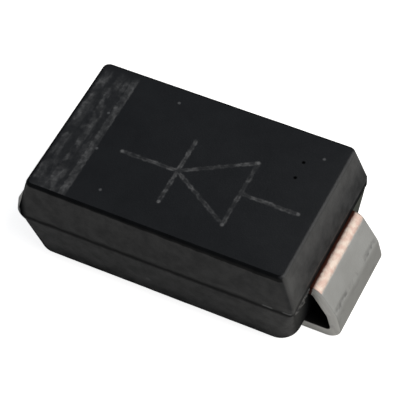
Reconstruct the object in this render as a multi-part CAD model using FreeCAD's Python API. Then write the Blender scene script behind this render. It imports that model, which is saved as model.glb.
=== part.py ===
# Surface-mount Schottky diode: an epoxy block moulded round a chip and two J-bend leads.
# +X runs from the cathode end to the anode end, and +Z is up from the circuit board.
# The origin is the middle of the footprint, level with the undersides of the two feet.
# All sizes are in millimetres and all angles in degrees.
import FreeCAD, Part
import math
import os

# Moulded body, an upper and a lower mould half that meet at the parting line
body_length = 4.60
body_width = 2.74
upper_height = 0.80
lower_height = 1.03
standoff = 0.08
land_height = 0.16
upper_end_draft = 15.0
upper_side_draft = 5.0
lower_end_draft = 5.0
lower_side_draft = 6.0
lower_end_inset = 0.01
lower_side_inset = 0.01
top_corner_radius = 0.11
land_corner_radius = 0.08
parting_corner_radius = 0.08
bottom_corner_radius = 0.30
top_edge_radius = 0.06
bottom_edge_radius = 0.22
ejector_mark_diameter = 0.90
ejector_mark_depth = 0.03
foot_recess_margin = 0.05
foot_recess_clearance = 0.02

# Leads, stamped from one thickness of copper strip
lead_width = 1.56
lead_thickness = 0.18
shoulder_length = 0.08
upper_panel_lean = 29.0
lower_panel_lean = 11.5
knee_height = 0.55
foot_run = 1.14
shoulder_bend_radius = 0.04
knee_bend_radius = 0.12
foot_bend_radius = 0.07
foot_corner_radius = 0.10
joggle_run = 0.27
joggle_bend_radius = 0.06
lock_notch_radius = 0.14

# Chip and its two solder joints
die_size = 1.30
die_thickness = 0.25
die_solder_thickness = 0.04
die_solder_spread = 0.05
contact_solder_thickness = 0.04
contact_solder_spread = 0.05

# Pads at the inner ends of the leads
pad_margin = 0.12
pad_to_joggle = 0.08
pad_corner_radius = 0.08
finger_width = 1.00
finger_reach = 0.52
dimple_radius = 0.30
dimple_depth = 0.07
dimple_flare = 0.07

# Levels
parting_z = standoff + lower_height
top_z = parting_z + upper_height
foot_z = lead_thickness / 2
exit_z = parting_z - lead_thickness / 2
stack_height = die_solder_thickness + die_thickness + contact_solder_thickness + dimple_depth
joggle_height = (stack_height + lead_thickness) / 2
cathode_pad_z = exit_z - joggle_height
anode_finger_z = exit_z + joggle_height
die_z = cathode_pad_z + lead_thickness / 2 + die_solder_thickness
die_top_z = die_z + die_thickness
dimple_z = die_top_z + contact_solder_thickness

# Places along the length, for a lead at the +X end
body_end_x = body_length / 2
pad_half_length = die_size / 2 + pad_margin
joggle_inner_x = pad_half_length + pad_to_joggle
joggle_outer_x = joggle_inner_x + joggle_run
lock_notch_x = (joggle_outer_x + body_end_x) / 2
shoulder_x = body_end_x + shoulder_length
knee_x = shoulder_x + (exit_z - knee_height) * math.tan(math.radians(upper_panel_lean))
foot_bend_x = knee_x + (knee_height - foot_z) * math.tan(math.radians(lower_panel_lean))
foot_tip_x = foot_bend_x - foot_run


def vector(x, y, z):
    """A point or a direction."""
    return FreeCAD.Vector(x, y, z)


def rectangle_corners(length, width, z):
    """The four corners of a rectangle about the Z axis, in order round it."""
    x = length / 2
    y = width / 2
    return [vector(-x, -y, z), vector(x, -y, z), vector(x, y, z), vector(-x, y, z)]


def polygon_face(corners):
    """A flat face with straight edges."""
    return Part.Face(Part.makePolygon(corners + corners[:1]))


def edges_at(solid, z):
    """The edges of a solid that lie wholly at one height."""
    level = 1e-6
    return [edge for edge in solid.Edges
            if abs(edge.BoundBox.ZMin - z) < level and abs(edge.BoundBox.ZMax - z) < level]


def round_leaning_edge(block, corner, wide_radius, narrow_radius):
    """Rounds the edge that leans in from this corner of the wide end, from one radius to the other."""
    level = 1e-6
    for edge in block.Edges:
        starts_here = edge.valueAt(edge.FirstParameter).distanceToPoint(corner) < level
        ends_here = edge.valueAt(edge.LastParameter).distanceToPoint(corner) < level
        if (starts_here or ends_here) and edge.BoundBox.ZLength > level:
            radii = (wide_radius, narrow_radius) if starts_here else (narrow_radius, wide_radius)
            return block.makeFillet(*radii, [edge])


def drafted_block(length, width, wide_z, narrow_z, end_draft, side_draft, wide_radius, narrow_radius):
    """A block whose four sides lean in from wide_z to narrow_z, with its leaning edges rounded."""
    rise = abs(narrow_z - wide_z)
    narrow_length = length - 2 * rise * math.tan(math.radians(end_draft))
    narrow_width = width - 2 * rise * math.tan(math.radians(side_draft))
    wide = rectangle_corners(length, width, wide_z)
    narrow = rectangle_corners(narrow_length, narrow_width, narrow_z)
    low, high = (wide, narrow) if wide_z < narrow_z else (narrow, wide)
    faces = [polygon_face(low[::-1]), polygon_face(high)]
    for index in range(4):
        after = (index + 1) % 4
        faces.append(polygon_face([low[index], low[after], high[after], high[index]]))
    block = Part.Solid(Part.Shell(faces))
    for corner in wide:
        block = round_leaning_edge(block, corner, wide_radius, narrow_radius)
    return block


def upper_half():
    """The upper mould half: a short upright land, then drafted sides up to the top face."""
    land_top = parting_z + land_height
    block = drafted_block(
        body_length, body_width, land_top, top_z, upper_end_draft, upper_side_draft,
        land_corner_radius, top_corner_radius)
    underside = Part.Face(Part.Wire(Part.__sortEdges__(edges_at(block, land_top))))
    land = underside.extrude(vector(0, 0, -land_height))
    return block.makeFillet(top_edge_radius, edges_at(block, top_z)).fuse(land).removeSplitter()


def lower_half():
    """The lower mould half: a little smaller all round, with corners that grow rounder downwards."""
    block = drafted_block(
        body_length - 2 * lower_end_inset, body_width - 2 * lower_side_inset,
        parting_z, standoff, lower_end_draft, lower_side_draft,
        parting_corner_radius, bottom_corner_radius)
    return block.makeFillet(bottom_edge_radius, edges_at(block, standoff))


def foot_recesses():
    """A shallow recess in each end of the underside, which the foot folds into."""
    inner_x = foot_tip_x - foot_recess_margin
    length = body_end_x - inner_x
    width = lead_width + 2 * foot_recess_margin
    height = lead_thickness + foot_recess_clearance
    corners = [vector(inner_x, -width / 2, 0), vector(-body_end_x, -width / 2, 0)]
    return [Part.makeBox(length, width, height, corner) for corner in corners]


def moulding():
    """The outside of the body, as the mould forms it."""
    mark = Part.makeCylinder(ejector_mark_diameter / 2, ejector_mark_depth, vector(0, 0, standoff))
    return upper_half().fuse(lower_half()).removeSplitter().cut([mark] + foot_recesses())


def bent_strip(corners, inside_radii, thickness, width):
    """A strip of sheet, bent in the XZ plane along a line of (x, z) corners at mid-thickness."""
    points = [vector(x, 0, z) for x, z in corners]
    edges = []
    ends = []
    for face in (1, -1):
        heading = (points[1] - points[0]).normalize()
        last = points[0] + vector(-heading.z, 0, heading.x) * (face * thickness / 2)
        ends.append(last)
        for before, corner, after, inside in zip(points, points[1:], points[2:], inside_radii):
            arriving = (corner - before).normalize()
            leaving = (after - corner).normalize()
            left_before = vector(-arriving.z, 0, arriving.x)
            left_after = vector(-leaving.z, 0, leaving.x)
            turn = arriving.getAngle(leaving)
            side = math.copysign(1, arriving.x * leaving.z - arriving.z * leaving.x)
            radius = inside + thickness / 2
            tangent = radius * math.tan(turn / 2)
            bend_start = corner - arriving * tangent
            bend_end = corner + leaving * tangent
            centre = bend_start + left_before * (side * radius)
            outward = (corner - centre).normalize()
            arc_start = bend_start + left_before * (face * thickness / 2)
            arc_middle = centre + outward * (radius - side * face * thickness / 2)
            arc_end = bend_end + left_after * (face * thickness / 2)
            edges.append(Part.LineSegment(last, arc_start).toShape())
            edges.append(Part.Arc(arc_start, arc_middle, arc_end).toShape())
            last = arc_end
        heading = (points[-1] - points[-2]).normalize()
        end = points[-1] + vector(-heading.z, 0, heading.x) * (face * thickness / 2)
        edges.append(Part.LineSegment(last, end).toShape())
        ends.append(end)
    edges.append(Part.LineSegment(ends[0], ends[2]).toShape())
    edges.append(Part.LineSegment(ends[1], ends[3]).toShape())
    outline = Part.Wire(Part.__sortEdges__(edges))
    outline.translate(vector(0, -width / 2, 0))
    return Part.Face(outline).extrude(vector(0, width, 0))


def round_tip(strip, tip_x, z, radius):
    """The strip with the two upright edges at one of its cut ends rounded."""
    level = 1e-6
    corners = []
    for edge in strip.Edges:
        box = edge.BoundBox
        at_tip = abs(box.XMin - tip_x) < level and abs(box.XMax - tip_x) < level
        upright = box.YLength < level and abs(box.ZLength - lead_thickness) < level
        if at_tip and upright and abs(box.Center.z - z) < level:
            corners.append(edge)
    return strip.makeFillet(radius, corners)


def lock_notches():
    """Two half-round bites in the sides of the shank, which key it into the epoxy."""
    cutters = []
    for side in (-1, 1):
        base = vector(lock_notch_x, side * lead_width / 2, exit_z - lead_thickness)
        cutters.append(Part.makeCylinder(lock_notch_radius, 2 * lead_thickness, base))
    return cutters


def j_lead(tip_x, pad_z):
    """One lead at the +X end: inner pad, joggle, shank, shoulder, kneed panel and foot."""
    path = [
        (tip_x, pad_z),
        (joggle_inner_x, pad_z),
        (joggle_outer_x, exit_z),
        (shoulder_x, exit_z),
        (knee_x, knee_height),
        (foot_bend_x, foot_z),
        (foot_tip_x, foot_z),
    ]
    radii = [
        joggle_bend_radius,
        joggle_bend_radius,
        shoulder_bend_radius,
        knee_bend_radius,
        foot_bend_radius,
    ]
    strip = bent_strip(path, radii, lead_thickness, lead_width)
    strip = round_tip(strip, foot_tip_x, foot_z, foot_corner_radius)
    return strip.cut(lock_notches())


def finger_waste():
    """The metal beside the anode lead's contact finger, down to the joggle."""
    inner_x = -finger_reach - pad_margin
    low = exit_z - lead_thickness
    high = anode_finger_z + lead_thickness
    pieces = []
    for side in (-1, 1):
        outline = [
            vector(inner_x, side * finger_width / 2, low),
            vector(joggle_inner_x, side * finger_width / 2, low),
            vector(joggle_outer_x, side * lead_width / 2, low),
            vector(joggle_outer_x, side * lead_width, low),
            vector(inner_x, side * lead_width, low),
        ]
        wire = Part.makePolygon(outline + outline[:1])
        pieces.append(Part.Face(wire).extrude(vector(0, 0, high - low)))
    return pieces


def anode_lead():
    """The lead at the +X end: its finger reaches over the chip and dimples down onto it."""
    lead = j_lead(-finger_reach, anode_finger_z).cut(finger_waste())
    lead = round_tip(lead, -finger_reach, anode_finger_z, pad_corner_radius)
    underside = anode_finger_z - lead_thickness / 2
    bump = Part.makeCone(dimple_radius, dimple_radius + dimple_flare, dimple_depth, vector(0, 0, dimple_z))
    hollow = Part.makeCone(
        dimple_radius - dimple_flare,
        dimple_radius,
        dimple_depth,
        vector(0, 0, underside + lead_thickness - dimple_depth),
    )
    return lead.fuse(bump).cut(hollow).removeSplitter()


def cathode_lead():
    """The lead at the -X end: its pad lies under the chip."""
    lead = j_lead(-pad_half_length, cathode_pad_z)
    lead = round_tip(lead, -pad_half_length, cathode_pad_z, pad_corner_radius)
    return lead.mirror(vector(0, 0, 0), vector(1, 0, 0))


def schottky_die():
    """The sawn silicon chip."""
    corner = vector(-die_size / 2, -die_size / 2, die_z)
    return Part.makeBox(die_size, die_size, die_thickness, corner)


def die_solder():
    """Solder between pad and chip, spread a little wider on the pad."""
    pad_top = die_z - die_solder_thickness
    wide = die_size + 2 * die_solder_spread
    outlines = [rectangle_corners(wide, wide, pad_top), rectangle_corners(die_size, die_size, die_z)]
    wires = [Part.makePolygon(corners + corners[:1]) for corners in outlines]
    return Part.makeLoft(wires, True, True)


def contact_solder():
    """Solder between chip and dimple, spread a little wider on the chip."""
    wide = dimple_radius + contact_solder_spread
    return Part.makeCone(wide, dimple_radius, contact_solder_thickness, vector(0, 0, die_top_z))


def moulded_body(inserts):
    """The epoxy, moulded tight round everything inside it."""
    return moulding().cut(inserts)


def main():
    """Build every piece and write each to its own file."""
    pieces = {
        "anode_lead": anode_lead(),
        "cathode_lead": cathode_lead(),
        "schottky_die": schottky_die(),
        "die_solder": die_solder(),
        "contact_solder": contact_solder(),
    }
    pieces["moulded_body"] = moulded_body(list(pieces.values()))
    os.makedirs("parts", exist_ok=True)
    for node, shape in pieces.items():
        solid = shape.Solids[0]
        solid.exportStep("parts/" + node + ".step")
        box = solid.BoundBox
        print(node, len(shape.Solids), "solid, valid:", solid.isValid(), "volume", round(solid.Volume, 4))
        print("   x", round(box.XMin, 3), round(box.XMax, 3), "z", round(box.ZMin, 3), round(box.ZMax, 3))


main()
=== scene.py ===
"""Looks of a surface-mount Schottky diode: its moulded block, its two bent leads and what lies inside.

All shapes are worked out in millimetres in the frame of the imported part: +X runs from the cathode end
to the anode end and +Z is up from the circuit board. add_piece() scales them to metres.
"""

import math

import bmesh
import bpy
from mathutils import Matrix, Vector, noise


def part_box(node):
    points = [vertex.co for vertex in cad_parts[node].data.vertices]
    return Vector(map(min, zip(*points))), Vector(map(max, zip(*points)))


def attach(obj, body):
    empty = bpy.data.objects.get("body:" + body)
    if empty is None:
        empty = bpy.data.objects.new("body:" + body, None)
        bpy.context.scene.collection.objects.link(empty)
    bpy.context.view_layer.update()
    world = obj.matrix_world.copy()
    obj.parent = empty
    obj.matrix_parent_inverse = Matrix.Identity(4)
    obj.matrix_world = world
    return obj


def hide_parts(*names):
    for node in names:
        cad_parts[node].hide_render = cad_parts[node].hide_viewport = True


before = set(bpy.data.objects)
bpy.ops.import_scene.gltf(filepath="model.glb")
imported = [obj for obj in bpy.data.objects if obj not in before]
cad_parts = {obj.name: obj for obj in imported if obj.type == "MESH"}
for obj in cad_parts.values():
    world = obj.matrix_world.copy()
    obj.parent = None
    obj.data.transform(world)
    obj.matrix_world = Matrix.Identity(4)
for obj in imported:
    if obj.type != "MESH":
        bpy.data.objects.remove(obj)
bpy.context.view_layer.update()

MM = 0.001


def box_mm(node):
    """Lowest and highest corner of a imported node, in millimetres."""
    low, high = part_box(node)
    return low / MM, high / MM


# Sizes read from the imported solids
body_low, body_high = box_mm("moulded_body")
lead_high = box_mm("anode_lead")[1]
die_low, die_high = box_mm("schottky_die")
body_half_length = body_high.x
body_half_width = body_high.y
top_z = body_high.z
standoff = body_low.z
parting_z = box_mm("cathode_lead")[1].z
lead_half_width = lead_high.y

# The mould's form
land_height = 0.16
upper_end_draft = 15.0
upper_side_draft = 5.0
lower_end_draft = 5.0
lower_side_draft = 6.0
lower_end_inset = 0.01
lower_side_inset = 0.01
top_corner_radius = 0.11
land_corner_radius = 0.08
parting_corner_radius = 0.08
bottom_corner_radius = 0.30
top_edge_radius = 0.06
bottom_edge_radius = 0.22
ejector_mark_radius = 0.45
ejector_mark_depth = 0.03
foot_recess_margin = 0.05
foot_recess_clearance = 0.02

# The leads' form
lead_thickness = 0.18
shoulder_length = 0.08
upper_panel_lean = 29.0
lower_panel_lean = 11.5
knee_height = 0.55
foot_run = 1.14
shoulder_bend_radius = 0.04
knee_bend_radius = 0.12
foot_bend_radius = 0.07
foot_corner_radius = 0.10
joggle_run = 0.27
joggle_bend_radius = 0.06
lock_notch_radius = 0.14
pad_margin = 0.12
pad_to_joggle = 0.08
pad_corner_radius = 0.08
finger_half_width = 0.50
finger_reach = 0.52
dimple_radius = 0.30
dimple_depth = 0.07
dimple_flare = 0.07
die_solder_thickness = 0.04


class Value:
    """A shader socket to reckon with: 1 - mask * 0.5 adds the Math nodes that it needs."""

    def __init__(self, finish, socket):
        self.finish = finish
        self.socket = socket

    def math(self, operation, first, second=0.0):
        return self.finish.node("ShaderNodeMath", {"operation": operation}, {0: first, 1: second})

    def __add__(self, other):
        return self.math("ADD", self, other)

    def __sub__(self, other):
        return self.math("SUBTRACT", self, other)

    def __rsub__(self, other):
        return self.math("SUBTRACT", other, self)

    def __mul__(self, other):
        return self.math("MULTIPLY", self, other)

    def __abs__(self):
        return self.math("ABSOLUTE", self)

    __radd__ = __add__
    __rmul__ = __mul__

    def root(self):
        return self.math("SQRT", self)

    def least(self, other):
        return self.math("MINIMUM", self, other)

    def most(self, other):
        return self.math("MAXIMUM", self, other)

    def rise(self, start, end):
        """A smooth step from 0 at start to 1 at end, whichever of the two is the higher."""
        low, high = min(start, end), max(start, end)
        at_low, at_high = (0.0, 1.0) if start < end else (1.0, 0.0)
        return self.finish.node(
            "ShaderNodeMapRange", {"interpolation_type": "SMOOTHSTEP"},
            {"Value": self, "From Min": low, "From Max": high, "To Min": at_low, "To Max": at_high},
        )

    def near(self, middle, half_width, soft):
        """1 within half_width of middle, and 0 past a soft edge."""
        return abs(self - middle).rise(half_width + soft, half_width)


class Finish:
    """One node tree, which any node goes into by the same method."""

    def __init__(self, tree):
        self.tree = tree
        self.tree.nodes.clear()

    def node(self, kind, settings, inputs, output=0):
        """Adds a node, makes its settings, fills its sockets and gives one of its outputs."""
        made = self.tree.nodes.new(kind)
        for name, value in settings.items():
            setattr(made, name, value)
        for name, value in inputs.items():
            if isinstance(value, Value):
                self.tree.links.new(value.socket, made.inputs[name])
            else:
                made.inputs[name].default_value = value
        return Value(self, made.outputs[output]) if made.outputs else None

    def place(self):
        """The place on the part, in millimetres, as a vector."""
        metres = self.node("ShaderNodeTexCoord", {}, {}, "Object")
        return self.node("ShaderNodeVectorMath", {"operation": "SCALE"}, {0: metres, "Scale": 1 / MM})

    def parts(self, vector):
        """The X, Y and Z of a vector."""
        split = self.node("ShaderNodeSeparateXYZ", {}, {0: vector}).socket.node
        return [Value(self, output) for output in split.outputs]

    def facing(self):
        """The X, Y and Z of the direction that the surface faces."""
        return self.parts(self.node("ShaderNodeTexCoord", {}, {}, "Normal"))

    def stretched(self, vector, x, y, z):
        """The vector with each of its parts scaled by itself."""
        return self.node("ShaderNodeVectorMath", {"operation": "MULTIPLY"}, {0: vector, 1: (x, y, z)})

    def grain(self, vector, scale, detail=2.0, roughness=0.5):
        """Noise from 0 to 1 with about scale lumps to the millimetre."""
        return self.node(
            "ShaderNodeTexNoise", {},
            {"Vector": vector, "Scale": scale, "Detail": detail, "Roughness": roughness},
        )

    def blend(self, share, first, second):
        """A colour that goes from first to second as share goes from 0 to 1."""
        # The node's colours come in at sockets 6 and 7, and the mixed one goes out at 2.
        return self.node("ShaderNodeMix", {"data_type": "RGBA"}, {0: share, 6: first, 7: second}, 2)

    def stored(self, name):
        """A number that the mesh holds at each of its points."""
        return self.node("ShaderNodeAttribute", {"attribute_name": name}, {}, "Fac")

    def relief(self, height):
        """A normal for a surface that stands height millimetres proud."""
        return self.node("ShaderNodeBump", {}, {"Height": height, "Distance": MM, "Strength": 1.0})

    def away(self):
        """0 where the surface faces whoever looks at it, up to 1 where it turns edge-on."""
        return self.node("ShaderNodeLayerWeight", {}, {"Blend": 0.5}, "Facing")

    def surface(self, inputs, dull=None):
        """A Principled surface as the tree's output, which loses its gloss where dull nears 1."""
        shader = self.node("ShaderNodeBsdfPrincipled", {}, inputs)
        if dull:
            matte = self.node("ShaderNodeBsdfDiffuse", {}, {"Color": inputs["Base Color"]})
            shader = self.node("ShaderNodeMixShader", {}, {0: dull, 1: shader, 2: matte})
        self.node("ShaderNodeOutputMaterial", {}, {"Surface": shader})


def new_finish(name):
    """A material and the finish that builds its nodes."""
    material = bpy.data.materials.new(name)
    material.use_nodes = True
    return material, Finish(material.node_tree)


def grey(level, tint=(1.0, 1.0, 1.0)):
    """A tinted grey as a colour."""
    return (level * tint[0], level * tint[1], level * tint[2], 1.0)


# Colours of the epoxy: as moulded, painted light on the anode end, marked by the laser, scarred or with
# painted glints, painted shade, and painted light past the lead
epoxy_darker = grey(0.0070, (0.92, 1.0, 1.10))
epoxy_lighter = grey(0.0090, (0.92, 1.0, 1.08))
epoxy_painted_light = grey(0.046, (1.0, 0.99, 0.95))
epoxy_lasered = grey(0.20, (1.0, 0.99, 0.97))
epoxy_scarred_and_glinting = grey(0.16)
epoxy_shaded = grey(0.001)
epoxy_painted_low_light = grey(0.10, (0.95, 1.0, 0.86))
flash_whole = grey(0.012)
flash_broken = grey(0.085, (1.0, 0.97, 0.90))

# Colours of the leads: tin as plated, sheared and torn, tin in painted shade, bare copper, and the stain
# and painted shade at the exit
tin_darker = grey(0.385, (1.0, 0.995, 0.95))
tin_lighter = grey(0.42, (1.0, 1.0, 0.96))
tin_sheared = grey(0.74, (1.0, 0.995, 0.96))
tin_torn_and_shade = grey(0.02)
tin_nick_shade = grey(0.03)
tin_shaded = grey(0.02)
copper_deeper = (0.49, 0.355, 0.30, 1.0)
copper_paler = (0.56, 0.47, 0.40, 1.0)
exit_stain_and_shade = (0.090, 0.030, 0.020, 1.0)

# Colours of the chip and its solder
silicon_sawn = grey(0.17, (0.95, 1.0, 1.15))
chip_metal = grey(0.55, (1.0, 0.98, 0.94))
solder_darker = grey(0.36)
solder_lighter = grey(0.52, (1.0, 0.99, 0.97))

# Laser marks on the top face
band_far_x = -2.07
band_near_x = -1.46
first_row_x = -1.515
second_row_x = -1.75
third_row_x = -1.98
row_half_width = 0.048
row_sway = 0.16
symbol_centre_x = 0.39
symbol_centre_y = -0.17
symbol_half_length = 1.45
symbol_half_height = 0.62
triangle_half_length = 0.52
stroke_half_width = 0.036
stroke_raggedness = 0.055
burn_spot_radius = 0.042
band_strength = 0.33

# Small scars: specks and pits of the top face as (x, y), and a chip of the front as (x, z)
speck_places = ((-1.60, 0.40), (-1.44, -0.28), (-0.70, 1.01), (1.77, 0.91), (-1.02, -0.95))
speck_radius = 0.034
pit_places = ((1.515, 0.732), (1.52, 0.424))
pit_radius = 0.042
chip_places = ((-0.16, 0.56),)
chip_radius = 0.055

# Painted glints along stretches of the front's parting edge as (middle, half length) along X, and their
# height above it
glint_stretches = ((1.885, 0.06), (2.20, 0.05))
glint_rise = 0.045

# The painted shadow along the parting line, and the painted dark line on the front, as depths below the
# top face
seam_half_width = 0.010
seam_fade = 0.105
seam_sway = 0.08
rim_line_top = 0.056
rim_line_bottom = 0.086
rim_line_sway = 0.05
rim_line_slope = 0.014

# Where the front loses its gloss: downwards, and towards the corner at the cathode end
dull_front_start_z = 0.56
dull_front_full_z = 0.22
dull_corner_start_x = 0.20 - body_half_length
dull_corner_full_x = 0.06 - body_half_length
dull_corner_start_y = -1.12
dull_corner_full_y = -1.26


def stroke_distance(x, y, start, end):
    """How far a place is from the straight stroke between two points."""
    run_x, run_y = end[0] - start[0], end[1] - start[1]
    squared = run_x ** 2 + run_y ** 2
    from_x, from_y = x - start[0], y - start[1]
    along = ((from_x * run_x + from_y * run_y) * (1 / squared)).most(0.0).least(1.0)
    off_x, off_y = from_x - along * run_x, from_y - along * run_y
    return (off_x * off_x + off_y * off_y).root()


def nearest_of(distances):
    """The least of several distances."""
    nearest = distances[0]
    for distance in distances[1:]:
        nearest = nearest.least(distance)
    return nearest


def strongest_of(masks):
    """The strongest of several masks."""
    strongest = masks[0]
    for mask in masks[1:]:
        strongest = strongest.most(mask)
    return strongest


def symbol_strokes():
    """The strokes of a plain diode symbol, whose bar is towards the cathode band."""
    bar_x = symbol_centre_x - triangle_half_length
    base_x = symbol_centre_x + triangle_half_length
    low_y, high_y = symbol_centre_y - symbol_half_height, symbol_centre_y + symbol_half_height
    return [
        ((symbol_centre_x - symbol_half_length, symbol_centre_y), (bar_x, symbol_centre_y)),
        ((symbol_centre_x + symbol_half_length, symbol_centre_y), (base_x, symbol_centre_y)),
        ((bar_x, low_y), (bar_x, high_y)),
        ((base_x, low_y), (base_x, high_y)),
        ((base_x, low_y), (bar_x, symbol_centre_y)),
        ((base_x, high_y), (bar_x, symbol_centre_y)),
    ]


def spots(along, across, places, radius):
    """1 on each of these places of a flat face."""
    distances = []
    for place_along, place_across in places:
        off_along, off_across = along - place_along, across - place_across
        distances.append((off_along * off_along + off_across * off_across).root())
    return nearest_of(distances).rise(radius, radius * 0.3)


def polarity_symbol(finish, place, x, y):
    """How strongly the laser drew the symbol: two passes side by side, burnt where strokes start."""
    strokes = symbol_strokes()
    ragged = (finish.grain(place, 12.0, 3.0) - 0.5) * stroke_raggedness
    distance = nearest_of([stroke_distance(x, y, *stroke) for stroke in strokes]) + ragged
    between_passes = distance.rise(stroke_half_width * 0.5, 0.0)
    lines = distance.rise(stroke_half_width * 1.3, stroke_half_width * 0.4) - between_passes * 0.40
    burns = spots(x, y, [start for start, _ in strokes], burn_spot_radius)
    beads = finish.grain(place, 9.0, 2.0).rise(0.38, 0.70)
    patches = finish.grain(place, 3.0, 2.0).rise(0.32, 0.62)
    return lines * (0.12 + beads * 0.52) * (0.35 + patches * 0.65) + burns * 0.45


def cathode_band(finish, place, x, y):
    """How strongly the laser hatched the top face: ragged rows across the cathode end."""
    sway = (finish.grain(finish.stretched(place, 0.4, 1.0, 1.0), 3.0, 3.0, 0.6) - 0.5) * row_sway
    streaks = finish.grain(finish.stretched(place, 1.0, 0.36, 1.0), 8.5, 2.0).rise(0.44, 0.60)
    patches = finish.grain(place, 2.6, 2.0).rise(0.36, 0.60)
    knots = finish.grain(place, 15.0, 2.0)
    ragged_x = x + (knots - 0.5) * 0.05
    swaying_x = ragged_x + sway
    first = ragged_x.near(first_row_x, row_half_width, 0.024) * (0.30 + streaks * 0.45 + patches * 0.35)
    second = swaying_x.near(second_row_x, row_half_width, 0.05) * (streaks * 0.7 + patches * 0.45)
    third = swaying_x.near(third_row_x, row_half_width, 0.04) * (streaks * 0.55 + patches * 0.40)
    past_far_edge = ragged_x.rise(band_far_x - 0.02, band_far_x + 0.03)
    past_near_edge = x.rise(band_near_x, band_near_x - 0.02)
    haze = past_far_edge * past_near_edge * (0.12 + streaks * patches * 0.40)
    rows = strongest_of([first, second, third, haze])
    return rows * (0.25 + knots * knots * 3.0) * y.rise(1.25, 0.95)


def pale_scars_and_glints(x, y, z, on_top, on_front):
    """How much paler the epoxy is where it is scratched or chipped, and where painted glints lie on the
    parting edge.
    """
    specks = on_top * spots(x, y, speck_places, speck_radius)
    chip = on_front * spots(x, z, chip_places, chip_radius)
    stretches = [x.near(middle, half_length, 0.04) for middle, half_length in glint_stretches]
    # Painted highlight: pale glints along the front's parting edge
    glints = on_front * z.near(parting_z + glint_rise, 0.010, 0.014) * strongest_of(stretches)
    return strongest_of([specks * 0.6, glints * 0.9, chip * 0.25])


def rim_shade_mask(x, z, mottle, face_x, face_z, on_front):
    """Painted shade on the rounded edge of the top face, and a painted dark line below it on the front.
    """
    off_the_end = face_x.rise(0.35, 0.05)
    rounded = face_z.rise(0.30, 0.42) * face_z.rise(0.995, 0.970) * (0.25 + 0.75 * off_the_end)
    height = z + (mottle - 0.5) * rim_line_sway + x * rim_line_slope
    line = on_front * height.rise(top_z - rim_line_bottom, top_z - rim_line_top)
    return rounded.most(line) * (0.7 + 0.4 * mottle)


def dull_corner(x, y, z):
    """The upper half's front corner at the cathode end, which has no gloss."""
    along = x.rise(dull_corner_start_x, dull_corner_full_x)
    across = y.rise(dull_corner_start_y, dull_corner_full_y)
    return along * across * z.rise(parting_z - 0.08, parting_z)


def epoxy_finish():
    """Black filled epoxy: fine matte texture from the mould and faint laser marks on the top face."""
    material, finish = new_finish("black_epoxy")
    place = finish.place()
    x, y, z = finish.parts(place)
    face_x, face_y, face_z = finish.facing()
    on_top = face_z.rise(0.98, 0.999) * z.rise(top_z - 0.02, top_z - 0.005)
    on_front = face_y.rise(-0.6, -0.8)
    on_end = face_x.rise(0.6, 0.8)

    fine = finish.grain(place, 38.0, 3.0, 0.6)
    mottle = finish.grain(place, 4.5, 4.0, 0.6)
    broad = finish.grain(place, 1.7, 3.0)

    band = cathode_band(finish, place, x, y) * band_strength
    marks = on_top * (band + polarity_symbol(finish, place, x, y))
    # Painted shade: the pits in the top face are coloured dark, as the shade in them
    pits = on_top * spots(x, y, pit_places, pit_radius)
    # Painted shadow: a dark line under the overhang along the parting line
    painted_seam_shadow = (z + (mottle - 0.5) * seam_sway).near(parting_z - 0.01, seam_half_width, seam_fade)
    # Painted shade along the top face's rounded edge and on a line below it on the front
    painted_rim_shade = rim_shade_mask(x, z, mottle, face_x, face_z, on_front)
    # Painted light: the upper end face is coloured paler, most towards its top and its near corner
    painted_end_light = on_end * (z.rise(parting_z + 0.25, top_z - 0.02) * 0.6).most(y.rise(-0.6, -1.3) * 0.9)
    low_end = on_end * z.rise(top_z - 0.15, parting_z + 0.12)
    low_front = on_front * z.rise(dull_front_start_z, dull_front_full_z)
    under_seam = face_x.rise(0.75, 0.95) * z.rise(parting_z - 0.02, parting_z - 0.08)
    # Painted light: the lower end face below the parting line, past the lead's side, is coloured paler
    # and greenish
    painted_light_past_lead = under_seam * y.rise(lead_half_width, lead_half_width + 0.05)

    colour = finish.blend(broad.rise(0.3, 0.7), epoxy_darker, epoxy_lighter)
    colour = finish.blend(painted_end_light, colour, epoxy_painted_light)
    colour = finish.blend(marks * (0.6 + 0.8 * fine), colour, epoxy_lasered)
    colour = finish.blend(pale_scars_and_glints(x, y, z, on_top, on_front), colour, epoxy_scarred_and_glinting)
    # Painted shadow and shade: the parting line, the pits and the top edge's rim go near black
    colour = finish.blend(strongest_of([painted_seam_shadow * 0.5, pits, painted_rim_shade * 0.7]), colour, epoxy_shaded)
    colour = finish.blend(painted_light_past_lead * 0.7, colour, epoxy_painted_low_light)

    blotches = mottle.rise(0.3, 0.75) * (0.34 - 0.22 * on_top) + low_front * 0.46 + low_end * 0.32
    edge_on = finish.away().rise(0.64, 0.80)
    corner = dull_corner(x, y, z)
    dull = strongest_of([painted_seam_shadow * 0.75, pits, painted_rim_shade * 0.8, under_seam, corner, blotches, edge_on])
    finish.surface(
        {
            "Base Color": colour,
            "Roughness": 0.38 + fine * 0.10,
            "Specular IOR Level": 0.5,
            "Normal": finish.relief(fine * 0.0025 + broad * 0.004),
        },
        dull,
    )
    return material


def flash_finish():
    """The thin resin that squeezed out between the mould's halves, paler where it broke."""
    material, finish = new_finish("resin_flash")
    place = finish.place()
    crumbs = finish.grain(place, 16.0, 2.0)
    finish.surface({
        "Base Color": finish.blend(crumbs.rise(0.38, 0.62), flash_whole, flash_broken),
        "Roughness": 0.7,
        "Specular IOR Level": 0.4,
    })
    return material


# The nicks that the forming tool left in the leads' outer faces, along a crease above the knee
crease_z = knee_height + 0.10
crease_sway = 0.10
nick_y = 0.52
nick_half_length = 0.13

# Bare copper on the shoulder's outer face, and a dark band round the strip where it leaves the block,
# partly stain and partly painted shade
bare_length = 0.1215
bare_fade = 0.0135
stain_and_shade_half_length = 0.018


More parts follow.
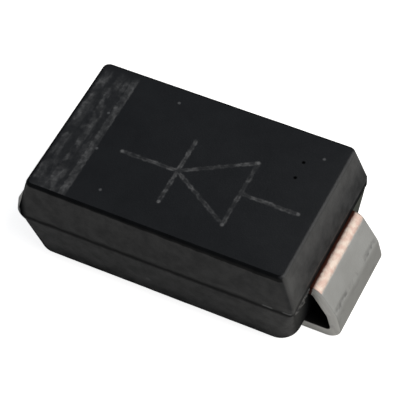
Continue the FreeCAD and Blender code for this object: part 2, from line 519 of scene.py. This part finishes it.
def tin_finish():
    """Matte tin on copper strip, with the copper bare inside the block and where the strip leaves it."""
    material, finish = new_finish("tinned_copper")
    place = finish.place()
    _, y, z = finish.parts(place)
    _, face_y, _ = finish.facing()
    along = finish.stored("strip_along")
    depth = finish.stored("strip_depth")

    fine = finish.grain(place, 30.0, 3.0, 0.6)
    broad = finish.grain(place, 2.5, 3.0)
    ragged = finish.grain(place, 11.0, 3.0)

    outer_face = depth.rise(lead_thickness / 2 - 0.012, lead_thickness / 2 - 0.004)
    inner_face = depth.rise(-lead_thickness / 2 + 0.012, -lead_thickness / 2 + 0.004)
    sheared = abs(face_y).rise(0.5, 0.9)
    torn = sheared * (depth + (ragged - 0.5) * 0.05).rise(-0.010, 0.014)
    outside = along.rise(-0.02, 0.0)
    on_shoulder = (along + (ragged - 0.5) * 0.020).rise(bare_length + bare_fade, bare_length - bare_fade)
    bare = (on_shoulder * outer_face).most(1 - outside)
    # Partly a real stain and partly painted shade where the strip meets the block
    stain_and_shade = (along + (ragged - 0.5) * 0.018).near(0.0, stain_and_shade_half_length, 0.020)
    # Painted shade: the lower panel and the curl below the knee are coloured darker, in patches
    below_knee = z.rise(knee_height + 0.06, knee_height - 0.04)
    shade_patches = finish.grain(finish.stretched(place, 1.0, 0.6, 1.0), 5.0, 3.0).rise(0.55, 0.72)
    shade_below_knee = below_knee * (0.12 + shade_patches * 0.16)
    crease = (z + (ragged - 0.5) * crease_sway).near(crease_z, 0.004, 0.055) * outer_face
    pressed = abs(y).near(nick_y, nick_half_length, 0.12) * (0.5 + ragged)
    nicks = crease * (pressed + ragged.rise(0.46, 0.65) * 0.6)

    tin = finish.blend(broad.rise(0.3, 0.7), tin_darker, tin_lighter)
    tin = finish.blend(sheared, tin, tin_sheared)
    tin = finish.blend((torn * 0.16).most(shade_below_knee), tin, tin_torn_and_shade)
    # Painted shade: the crease's nicks are coloured darker as well as pressed in
    tin = finish.blend(nicks * 0.26, tin, tin_nick_shade)
    copper = finish.blend(ragged.rise(0.35, 0.66), copper_deeper, copper_paler)
    colour = finish.blend(bare, tin, copper)
    colour = finish.blend(stain_and_shade, colour, exit_stain_and_shade)
    colour = finish.blend(inner_face * outside * 0.85, colour, tin_shaded)
    finish.surface({
        "Base Color": colour,
        "Metallic": 1.0,
        "Roughness": 0.42 + fine * 0.10,
        "Normal": finish.relief(fine * 0.002 + broad * 0.003 - nicks * 0.002),
    })
    return material


def silicon_finish():
    """Sawn silicon with a metal layer on its two faces."""
    material, finish = new_finish("silicon")
    place = finish.place()
    _, _, face_z = finish.facing()
    metal_layer = abs(face_z).rise(0.8, 0.95)
    saw_lines = finish.grain(finish.stretched(place, 1.0, 1.0, 40.0), 6.0, 2.0)
    finish.surface({
        "Base Color": finish.blend(metal_layer, silicon_sawn, chip_metal),
        "Metallic": 0.9,
        "Roughness": 0.22 + saw_lines * 0.15,
        "Normal": finish.relief(saw_lines * 0.001),
    })
    return material


def solder_finish():
    """Dull solder that flowed between chip and copper."""
    material, finish = new_finish("solder")
    place = finish.place()
    mottle = finish.grain(place, 9.0, 3.0)
    finish.surface({
        "Base Color": finish.blend(mottle, solder_darker, solder_lighter),
        "Metallic": 1.0,
        "Roughness": 0.38 + mottle * 0.12,
        "Normal": finish.relief(mottle * 0.003),
    })
    return material


# An edge is sharp where it turns by more than this, and a cut leaves none shorter than this
sharp_angle = math.radians(38)
smallest_edge = 0.0005


def smooth(mesh):
    """Shades a mesh smooth but for its sharp edges."""
    mesh.shade_smooth()
    mesh.set_sharp_from_angle(angle=sharp_angle)


def add_piece(name, points, faces, material=None, stored=None):
    """An object of these points in millimetres, with the numbers that are stored at each of them."""
    mesh = bpy.data.meshes.new(name)
    mesh.from_pydata([point * MM for point in points], [], faces)
    mesh.validate()
    for label, numbers in (stored or {}).items():
        mesh.attributes.new(label, "FLOAT", "POINT").data.foreach_set("value", numbers)
    smooth(mesh)
    if material:
        mesh.materials.append(material)
    piece = bpy.data.objects.new(name, mesh)
    bpy.context.scene.collection.objects.link(piece)
    return piece


def clear_slivers(mesh):
    """Joins points that lie closer than the smallest edge, and drops the faces that this flattens."""
    cleared = bmesh.new()
    cleared.from_mesh(mesh)
    bmesh.ops.remove_doubles(cleared, verts=cleared.verts, dist=smallest_edge * MM)
    bmesh.ops.dissolve_degenerate(cleared, edges=cleared.edges, dist=smallest_edge * MM)
    cleared.to_mesh(mesh)
    cleared.free()


def cut_away(piece, cutters):
    """Cuts closed pieces out of another and removes them."""
    for cutter in cutters:
        cut = piece.modifiers.new("cut", "BOOLEAN")
        cut.object = cutter
        cut.operation = "DIFFERENCE"
        cut.solver = "EXACT"
    seen = piece.evaluated_get(bpy.context.evaluated_depsgraph_get())
    mesh = bpy.data.meshes.new_from_object(seen)
    clear_slivers(mesh)
    piece.modifiers.clear()
    piece.data = mesh
    smooth(mesh)
    for cutter in cutters:
        bpy.data.objects.remove(cutter)


def tube_faces(rings, count):
    """Faces of a closed piece whose points lie in this many rings of count each."""
    faces = []
    for level in range(rings - 1):
        low, high = level * count, (level + 1) * count
        for step in range(count):
            after = (step + 1) % count
            faces.append((low + step, low + after, high + after, high + step))
    faces.append(tuple(range(count - 1, -1, -1)))
    faces.append(tuple(range((rings - 1) * count, rings * count)))
    return faces


def rectangle(low_x, high_x, half_width):
    """The corners of a rectangle that lies evenly about the X axis."""
    return [(low_x, -half_width), (high_x, -half_width), (high_x, half_width), (low_x, half_width)]


def upright_prism(name, outline, low, high):
    """A closed piece with this outline between two heights."""
    points = [Vector((x, y, level)) for level in (low, high) for x, y in outline]
    return add_piece(name, points, tube_faces(2, len(outline)))


# Steps round each outline of the block
length_steps = 140
width_steps = 84
corner_steps = 10

# Steps up the block's walls and rounded edges, and round the ejector mark
lower_wall_steps = 26
lower_edge_steps = 8
land_steps = 4
upper_wall_steps = 18
upper_edge_steps = 6
ejector_mark_steps = 64

# How far the moulded walls wander inwards, and how many waves they have to the millimetre
broad_wave_depth = 0.004
broad_waves = 1.6
fine_wave_depth = 0.003
fine_waves = 7.0


def rounded_outline(half_length, half_width, radius):
    """Points round a rounded rectangle, each with the way it faces, as many for any size."""
    outline = []
    for corner in range(4):
        sign_x = 1 if corner in (0, 3) else -1
        sign_y = 1 if corner in (0, 1) else -1
        centre = Vector((sign_x * (half_length - radius), sign_y * (half_width - radius), 0))
        for step in range(corner_steps + 1):
            angle = math.radians(90 * (corner + step / corner_steps))
            facing = Vector((math.cos(angle), math.sin(angle), 0))
            outline.append((centre + facing * radius, facing))
        if corner in (0, 2):
            facing = Vector((0, sign_y, 0))
            run = 2 * (half_length - radius)
            steps = length_steps
        else:
            facing = Vector((sign_x, 0, 0))
            run = 2 * (half_width - radius)
            steps = width_steps
        heading = Vector((-facing.y, facing.x, 0))
        start = outline[-1][0]
        for step in range(1, steps):
            outline.append((start + heading * (run * step / steps), facing))
    return outline


def draft_at(facing, end_draft, side_draft):
    """The wall's lean in radians, for a piece of wall that faces this way."""
    return math.radians(end_draft * facing.x ** 2 + side_draft * facing.y ** 2)


def drafted_rings(
    wide, narrow, wide_z, narrow_z, end_draft, side_draft, edge_radius, wall_steps, edge_steps
):
    """Rings of points from the wide end of a drafted wall to the flat face past its rounded edge."""
    up = 1 if narrow_z > wide_z else -1
    arcs = [[] for _ in range(edge_steps + 1)]
    for place, facing in narrow:
        draft = draft_at(facing, end_draft, side_draft)
        inset = edge_radius * (math.tan(draft) - 1 / math.cos(draft))
        for step in range(edge_steps + 1):
            angle = draft + (math.pi / 2 - draft) * step / edge_steps
            reach = inset + edge_radius * math.cos(angle)
            level = narrow_z - up * edge_radius * (1 - math.sin(angle))
            arcs[step].append(place + facing * reach + Vector((0, 0, level)))
    rings = []
    for step in range(wall_steps):
        share = step / wall_steps
        rings.append([
            (place + Vector((0, 0, wide_z))).lerp(edge, share)
            for (place, _), edge in zip(wide, arcs[0])
        ])
    return rings + arcs


def noise_share(place):
    """Noise about a half, from about 0 to about 1."""
    return 0.5 + 0.5 * noise.noise(place)


def mould_waviness(point):
    """How far a wall lies inside its true place, in millimetres."""
    broad = broad_wave_depth * noise_share(point * broad_waves)
    fine = fine_wave_depth * noise_share(point * fine_waves)
    return broad + fine


def block_rings():
    """Rings of points up the block, from the rim of its underside to the rim of its top face."""
    land_top = parting_z + land_height
    upper_rise = top_z - land_top
    lower_rise = parting_z - standoff
    land = rounded_outline(body_half_length, body_half_width, land_corner_radius)
    crown = rounded_outline(
        body_half_length - upper_rise * math.tan(math.radians(upper_end_draft)),
        body_half_width - upper_rise * math.tan(math.radians(upper_side_draft)),
        top_corner_radius,
    )
    shelf_length = body_half_length - lower_end_inset
    shelf_width = body_half_width - lower_side_inset
    shelf = rounded_outline(shelf_length, shelf_width, parting_corner_radius)
    keel = rounded_outline(
        shelf_length - lower_rise * math.tan(math.radians(lower_end_draft)),
        shelf_width - lower_rise * math.tan(math.radians(lower_side_draft)),
        bottom_corner_radius,
    )
    lower = drafted_rings(
        shelf, keel, parting_z, standoff, lower_end_draft, lower_side_draft, bottom_edge_radius,
        lower_wall_steps, lower_edge_steps,
    )
    upper = drafted_rings(
        land, crown, land_top, top_z, upper_end_draft, upper_side_draft, top_edge_radius,
        upper_wall_steps, upper_edge_steps,
    )
    uprights = []
    for step in range(land_steps):
        level = parting_z + land_height * step / land_steps
        uprights.append([place + Vector((0, 0, level)) for place, _ in land])
    return lower[::-1] + uprights + upper, land


def block_mesh():
    """The block's points and faces, before anything is cut out of its underside."""
    rings, outline = block_rings()
    points = []
    for ring in rings:
        for point, (_, facing) in zip(ring, outline):
            points.append(point - facing * mould_waviness(point))
    return points, tube_faces(len(rings), len(outline))


def underside_cutters():
    """What the mould leaves out of the underside: the ejector pin's mark and a recess for each foot."""
    circle = []
    for step in range(ejector_mark_steps):
        turn = 2 * math.pi * step / ejector_mark_steps
        circle.append((ejector_mark_radius * math.cos(turn), ejector_mark_radius * math.sin(turn)))
    cutters = [upright_prism("ejector_mark", circle, 0, standoff + ejector_mark_depth)]
    inner_x = foot_bend_x - foot_run - foot_recess_margin
    outer_x = body_half_length + foot_recess_margin
    half_width = lead_half_width + foot_recess_margin
    for low_x, high_x in ((inner_x, outer_x), (-outer_x, -inner_x)):
        outline = rectangle(low_x, high_x, half_width)
        cutters.append(upright_prism("foot_recess", outline, 0, lead_thickness + foot_recess_clearance))
    return cutters


def build_block(material):
    """The moulded block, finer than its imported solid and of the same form."""
    points, faces = block_mesh()
    piece = add_piece("moulded_block", points, faces, material)
    cut_away(piece, underside_cutters())
    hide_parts("moulded_body")
    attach(piece, "root")


# The flash on the parting line of the anode end, between the near corner and the lead
flash_start_y = -1.31
flash_end_y = -0.80
flash_reach = 0.05
flash_root = 0.01
flash_root_half_thickness = 0.022
flash_tip_half_thickness = flash_root_half_thickness * 0.3
flash_steps = 36

# How many coarse and fine tears the flash has to the millimetre
coarse_tears = 14
fine_tears = 45


def flash_section(share):
    """The four points of the flash's section at this share of its length."""
    y = flash_start_y + (flash_end_y - flash_start_y) * share
    coarse = noise_share(Vector((y * coarse_tears, 2.5, 0.5)))
    fine = 0.3 * noise.noise(Vector((y * fine_tears, 7.5, 0.5)))
    torn = min(1.0, max(0.1, coarse + fine))
    ends = min(1.0, 6 * share, 6 * (1 - share) + 0.2)
    root_x = body_half_length - flash_root
    tip_x = root_x + flash_root + flash_reach * torn * ends
    section = (
        (root_x, flash_root_half_thickness),
        (tip_x, flash_tip_half_thickness),
        (tip_x, -flash_tip_half_thickness),
        (root_x, -flash_root_half_thickness),
    )
    return [Vector((x, y, parting_z + rise)) for x, rise in section]


def build_flash(material):
    """A thin ragged lip of resin beside the anode lead."""
    points = []
    for step in range(flash_steps + 1):
        points += flash_section(step / flash_steps)
    piece = add_piece("mould_flash", points, tube_faces(flash_steps + 1, 4), material)
    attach(piece, "root")


# Places along a lead, for the one at the +X end
exit_z = parting_z - lead_thickness / 2
foot_z = lead_thickness / 2
die_half_size = die_high.x
pad_half_length = die_half_size + pad_margin
joggle_inner_x = pad_half_length + pad_to_joggle
joggle_outer_x = joggle_inner_x + joggle_run
lock_notch_x = (joggle_outer_x + body_half_length) / 2
shoulder_x = body_half_length + shoulder_length
knee_x = shoulder_x + (exit_z - knee_height) * math.tan(math.radians(upper_panel_lean))
foot_bend_x = knee_x + (knee_height - foot_z) * math.tan(math.radians(lower_panel_lean))
cathode_pad_z = die_low.z - die_solder_thickness - lead_thickness / 2
anode_finger_z = 2 * exit_z - cathode_pad_z

# Steps and edges of the strip
strip_step = 0.05
arc_step = math.radians(3)
across_steps = 26
rolled_radius = 0.030
burr_radius = 0.010
rolled_steps = 5
burr_steps = 2


def strip_stations(corners, inside_radii):
    """Stations along a bent strip: place, the way the outer face looks, and the length up to there."""
    points = [Vector((x, 0, z)) for x, z in corners]
    stations = []
    along = 0.0
    last = points[0]

    def add_run(end, facing):
        nonlocal along, last
        run = (end - last).length
        steps = max(1, math.ceil(run / strip_step))
        for step in range(1, steps + 1):
            stations.append((last.lerp(end, step / steps), facing, along + run * step / steps))
        along += run
        last = end

    heading = (points[1] - points[0]).normalized()
    stations.append((points[0], Vector((-heading.z, 0, heading.x)), 0.0))
    for before, corner, after, inside in zip(points, points[1:], points[2:], inside_radii):
        arriving = (corner - before).normalized()
        leaving = (after - corner).normalized()
        turn = arriving.angle(leaving)
        side = math.copysign(1, arriving.x * leaving.z - arriving.z * leaving.x)
        radius = inside + lead_thickness / 2
        facing = Vector((-arriving.z, 0, arriving.x))
        start = corner - arriving * (radius * math.tan(turn / 2))
        centre = start + facing * (side * radius)
        add_run(start, facing)
        steps = max(2, math.ceil(turn / arc_step))
        for step in range(1, steps + 1):
            angle = turn * step / steps
            way = facing * math.cos(angle) - arriving * (side * math.sin(angle))
            stations.append((centre - way * (side * radius), way, along + radius * angle))
        along += radius * turn
        last = stations[-1][0]
    heading = (points[-1] - points[-2]).normalized()
    add_run(points[-1], Vector((-heading.z, 0, heading.x)))
    return stations


def rounded_end(half_width, radius, distance):
    """The half width of a strip this far from its cut end, whose two corners are rounded."""
    if distance >= radius:
        return half_width
    return half_width - radius + math.sqrt(max(0.0, radius ** 2 - (radius - distance) ** 2))


def strip_half_width(x, inner_half_width, from_tip, to_foot_tip):
    """The half width of a lead at one station."""
    taper = min(1.0, max(0.0, (x - joggle_inner_x) / joggle_run))
    half_width = inner_half_width + (lead_half_width - inner_half_width) * taper
    off_notch = abs(x - lock_notch_x)
    if to_foot_tip > foot_run and off_notch < lock_notch_radius:
        half_width -= math.sqrt(lock_notch_radius ** 2 - off_notch ** 2)
    half_width = rounded_end(half_width, pad_corner_radius, from_tip)
    return rounded_end(half_width, foot_corner_radius, to_foot_tip)


def section_edge(half_width, radius, steps):
    """A rounded edge of the strip's section as (across, depth), from its side to its outer face."""
    edge = []
    for step in range(steps + 1):
        angle = math.pi / 2 * step / steps
        across = half_width - radius * (1 - math.cos(angle))
        depth = lead_thickness / 2 - radius * (1 - math.sin(angle))
        edge.append((across, depth))
    return edge


def strip_section(half_width):
    """Points round the strip's section, with rolled edges at its outer face and burrs at its inner."""
    half = lead_thickness / 2
    rolled = section_edge(half_width, rolled_radius, rolled_steps)
    burr = section_edge(half_width, burr_radius, burr_steps)
    outer_reach = half_width - rolled_radius
    inner_reach = half_width - burr_radius
    section = []
    for step in range(across_steps + 1):
        section.append((-outer_reach + 2 * outer_reach * step / across_steps, half))
    section += rolled[-2::-1]
    section += [(across, -depth) for across, depth in burr]
    for step in range(1, across_steps):
        section.append((inner_reach - 2 * inner_reach * step / across_steps, -half))
    section += [(-across, -depth) for across, depth in burr[::-1]]
    section += [(-across, depth) for across, depth in rolled[:-1]]
    return section


def dimple_drop(place, across, depth):
    """How far the contact dimple pushes a point of the finger down."""
    painted_rim_shade = dimple_radius if depth > 0 else dimple_radius + dimple_flare
    inward = (painted_rim_shade - math.hypot(place.x, across)) / dimple_flare
    return dimple_depth * min(1.0, max(0.0, inward))


def build_lead(name, node, tip_x, pad_z, inner_half_width, end, material):
    """One lead, from its inner pad or finger to its foot, at the +X end (1) or the -X end (-1)."""
    corners = [
        (tip_x, pad_z),
        (joggle_inner_x, pad_z),
        (joggle_outer_x, exit_z),
        (shoulder_x, exit_z),
        (knee_x, knee_height),
        (foot_bend_x, foot_z),
        (foot_bend_x - foot_run, foot_z),
    ]
    inside_radii = [
        joggle_bend_radius,
        joggle_bend_radius,
        shoulder_bend_radius,
        knee_bend_radius,
        foot_bend_radius,
    ]
    stations = strip_stations(corners, inside_radii)
    total = stations[-1][2]
    leaves_block = next(
        along - (place.x - body_half_length)
        for place, _, along in stations
        if place.x > body_half_length
    )
    has_dimple = inner_half_width < lead_half_width
    points = []
    along_values = []
    depth_values = []
    for place, facing, along in stations:
        half_width = strip_half_width(place.x, inner_half_width, along, total - along)
        for across, depth in strip_section(half_width):
            point = place + facing * depth + Vector((0, across, 0))
            if has_dimple and place.x < joggle_inner_x and along < joggle_inner_x - tip_x:
                point.z -= dimple_drop(place, across, depth)
            # The steps of the foot bend don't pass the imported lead's farthest point.
            reach = min(point.x, lead_high.x)
            points.append(Vector((reach * end, point.y, point.z)))
            along_values.append(along - leaves_block)
            depth_values.append(depth)
    count = len(strip_section(lead_half_width))
    faces = [tuple(range(count)), tuple(range(len(points) - 1, len(points) - count - 1, -1))]
    for level in range(len(stations) - 1):
        for step in range(count):
            after = (step + 1) % count
            low, high = level * count, (level + 1) * count
            faces.append((low + step, high + step, high + after, low + after))
    if end < 0:
        faces = [face[::-1] for face in faces]
    stored = {"strip_along": along_values, "strip_depth": depth_values}
    piece = add_piece(name, points, faces, material, stored)
    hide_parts(node)
    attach(piece, "root")


def dress_solid(node, material):
    """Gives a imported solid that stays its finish."""
    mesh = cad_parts[node].data
    mesh.materials.clear()
    mesh.materials.append(material)


# The photograph's view: a long lens that looks down on the front and the anode end, held a little askew
photo_pixels = 400
view_azimuth = 31.08
view_elevation = 52.72
view_roll = -5.61
view_distance = 30.0
view_focal_pixels = 1972.8
view_centre = (193.70, 197.83)
sensor_width = 36.0

# The softbox past the anode end, a little to the back: degrees from the front and up, and millimetres
softbox_azimuth = 106
softbox_elevation = 38
softbox_distance = 150
softbox_width = 220
softbox_height = 180
softbox_radiance = 2.2
softbox_colour = (1.0, 0.99, 0.97)

# The dim room and the white table
room_colour = grey(0.15, (0.88, 0.96, 1.12))
table_colour = grey(0.86, (1.0, 0.975, 0.93))
table_glow = 0.85
table_half_size = 400.0
white = grey(1.0)


def direction(azimuth, elevation):
    """The unit vector at these degrees from the front, towards the anode end, and up."""
    azimuth = math.radians(azimuth)
    elevation = math.radians(elevation)
    return Vector((
        math.sin(azimuth) * math.cos(elevation),
        -math.cos(azimuth) * math.cos(elevation),
        math.sin(elevation),
    ))


def view_axes():
    """Unit vectors from the part to the camera, to the picture's right and to its top."""
    azimuth = math.radians(view_azimuth)
    roll = math.radians(view_roll)
    back = direction(view_azimuth, view_elevation)
    level = Vector((math.cos(azimuth), math.sin(azimuth), 0))
    upright = back.cross(level)
    right = level * math.cos(roll) + upright * math.sin(roll)
    return back, right, back.cross(right)


def build_camera():
    """The camera, aimed beside the block's middle so that the part lies in the frame as photographed."""
    back, right, up = view_axes()
    middle = Vector((0, 0, parting_z))
    pixel = view_distance / view_focal_pixels
    aside = (photo_pixels / 2 - view_centre[0]) * pixel
    below = (photo_pixels / 2 - view_centre[1]) * pixel
    place = middle + back * view_distance
    away = (place - middle - right * aside + up * below).normalized()
    across = up.cross(away).normalized()
    data = bpy.data.cameras.new("camera")
    data.sensor_width = sensor_width
    data.lens = view_focal_pixels / photo_pixels * sensor_width
    data.clip_start = view_distance * 0.1 * MM
    data.clip_end = view_distance * 50 * MM
    camera = bpy.data.objects.new("camera", data)
    turn = Matrix((across, away.cross(across), away)).transposed().to_4x4()
    camera.matrix_world = Matrix.Translation(place * MM) @ turn
    bpy.context.scene.collection.objects.link(camera)
    bpy.context.scene.camera = camera


def build_softbox():
    """A large rectangular lamp that faces the part, as bright as its radiance says in a mirror."""
    way = direction(softbox_azimuth, softbox_elevation)
    data = bpy.data.lights.new("softbox", "AREA")
    data.shape = "RECTANGLE"
    data.size = softbox_width * MM
    data.size_y = softbox_height * MM
    data.energy = softbox_radiance * math.pi * data.size * data.size_y
    data.color = softbox_colour
    lamp = bpy.data.objects.new("softbox", data)
    lamp.location = way * softbox_distance * MM
    lamp.rotation_euler = (-way).to_track_quat("-Z", "Y").to_euler()
    bpy.context.scene.collection.objects.link(lamp)


def build_room():
    """A dim room that shows as white to the camera."""
    world = bpy.data.worlds.new("room")
    world.use_nodes = True
    bpy.context.scene.world = world
    finish = Finish(world.node_tree)
    rays = finish.node("ShaderNodeLightPath", {}, {}, "Is Camera Ray")
    colour = finish.blend(rays, room_colour, white)
    background = finish.node("ShaderNodeBackground", {}, {"Color": colour, "Strength": 1.0})
    finish.node("ShaderNodeOutputWorld", {}, {"Surface": background})


def build_floor():
    """A white table that shows as white to the camera where it isn't in shadow."""
    outline = rectangle(-table_half_size, table_half_size, table_half_size)
    corners = [Vector((x, y, 0)) for x, y in outline]
    material, finish = new_finish("white_table")
    paper = finish.node("ShaderNodeBsdfDiffuse", {}, {"Color": table_colour})
    rays = finish.node("ShaderNodeLightPath", {}, {}, "Is Camera Ray")
    glow = finish.node("ShaderNodeEmission", {}, {"Color": white, "Strength": rays * table_glow})
    both = finish.node("ShaderNodeAddShader", {}, {0: paper, 1: glow})
    finish.node("ShaderNodeOutputMaterial", {}, {"Surface": both})
    floor = add_piece("floor", corners, [(0, 1, 2, 3)], material)


build_block(epoxy_finish())
build_flash(flash_finish())
tin = tin_finish()
build_lead("anode_strip", "anode_lead", -finger_reach, anode_finger_z, finger_half_width, 1, tin)
build_lead("cathode_strip", "cathode_lead", -pad_half_length, cathode_pad_z, lead_half_width, -1, tin)
dress_solid("schottky_die", silicon_finish())
solder = solder_finish()
dress_solid("die_solder", solder)
dress_solid("contact_solder", solder)
build_floor()
build_softbox()
build_room()
build_camera()
bpy.context.scene.view_settings.view_transform = "Standard"
